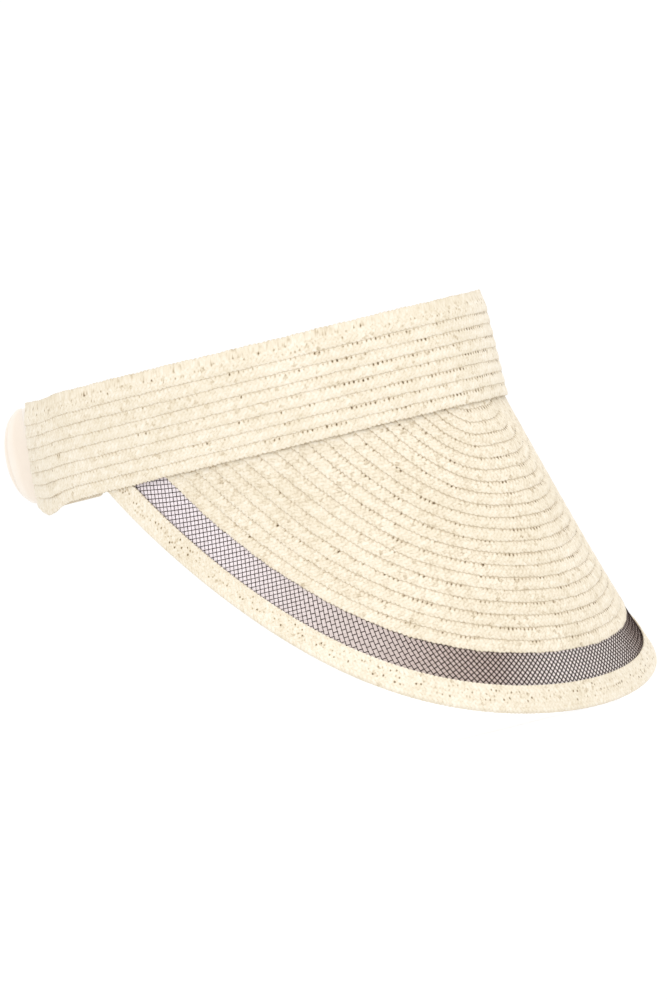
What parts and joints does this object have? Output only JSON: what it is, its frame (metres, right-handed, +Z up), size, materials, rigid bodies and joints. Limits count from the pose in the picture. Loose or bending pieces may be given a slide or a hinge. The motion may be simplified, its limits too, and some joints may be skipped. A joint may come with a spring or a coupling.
{
  "type": "sun visor",
  "caption": "Straw sun visor: lapped braid headband, deep arched brim with a see-through mesh band, folded wired rim and elastic back strap.",
  "frame": {"origin": "centre of the head opening, level with the headband's lower edge", "axes": "+Z up when worn, -Y to the wearer's front, +X to the wearer's left"},
  "size_m": [0.1827, 0.2288, 0.1656],
  "materials": {
    "straw": "natural cream paper-straw braid, woven, matt with a faint sheen",
    "mesh": "black-brown open mesh of fine filament",
    "wire": "white coated shaping wire",
    "sweatband": "cream cotton tape",
    "satin": "smooth pale satin",
    "elastic": "woven white elastic tape",
    "thread": "cream sewing thread"
  },
  "bodies": {
    "visor": {"band_row_1": "straw", "band_row_2": "straw", "band_row_3": "straw", "band_row_4": "straw", "band_row_5": "straw", "band_row_6": "straw", "band_row_7": "straw", "band_row_8": "straw", "brim_row_01": "straw", "brim_row_02": "straw", "brim_row_03": "straw", "brim_row_04": "straw", "brim_row_05": "straw", "brim_row_06": "straw", "brim_row_07": "straw", "brim_row_08": "straw", "brim_row_09": "straw", "brim_row_10": "straw", "brim_row_11": "straw", "brim_row_12": "straw", "brim_row_13": "straw", "brim_row_14": "straw", "brim_row_15": "straw", "brim_row_16": "straw", "brim_row_17": "straw", "brim_row_18": "straw", "brim_row_19": "straw", "brim_row_20": "straw", "brim_row_21": "straw", "rim_braid": "straw", "brim_mesh": "mesh", "rim_wire": "wire", "sweatband": "sweatband", "strap_tacks_right": "thread", "strap_tacks_left": "thread"},
    "back_strap": {"strap_sleeve": "satin", "strap_elastic": "elastic"}
  },
  "joints": [
    {"name": "strap_stretch", "type": "slide", "parent": "visor", "child": "back_strap", "axis": [0, 1, 0], "range_m": [0, 0.02], "stiffness_N_per_m": 150, "deforming": ["strap_sleeve", "strap_elastic"]}
  ]
}
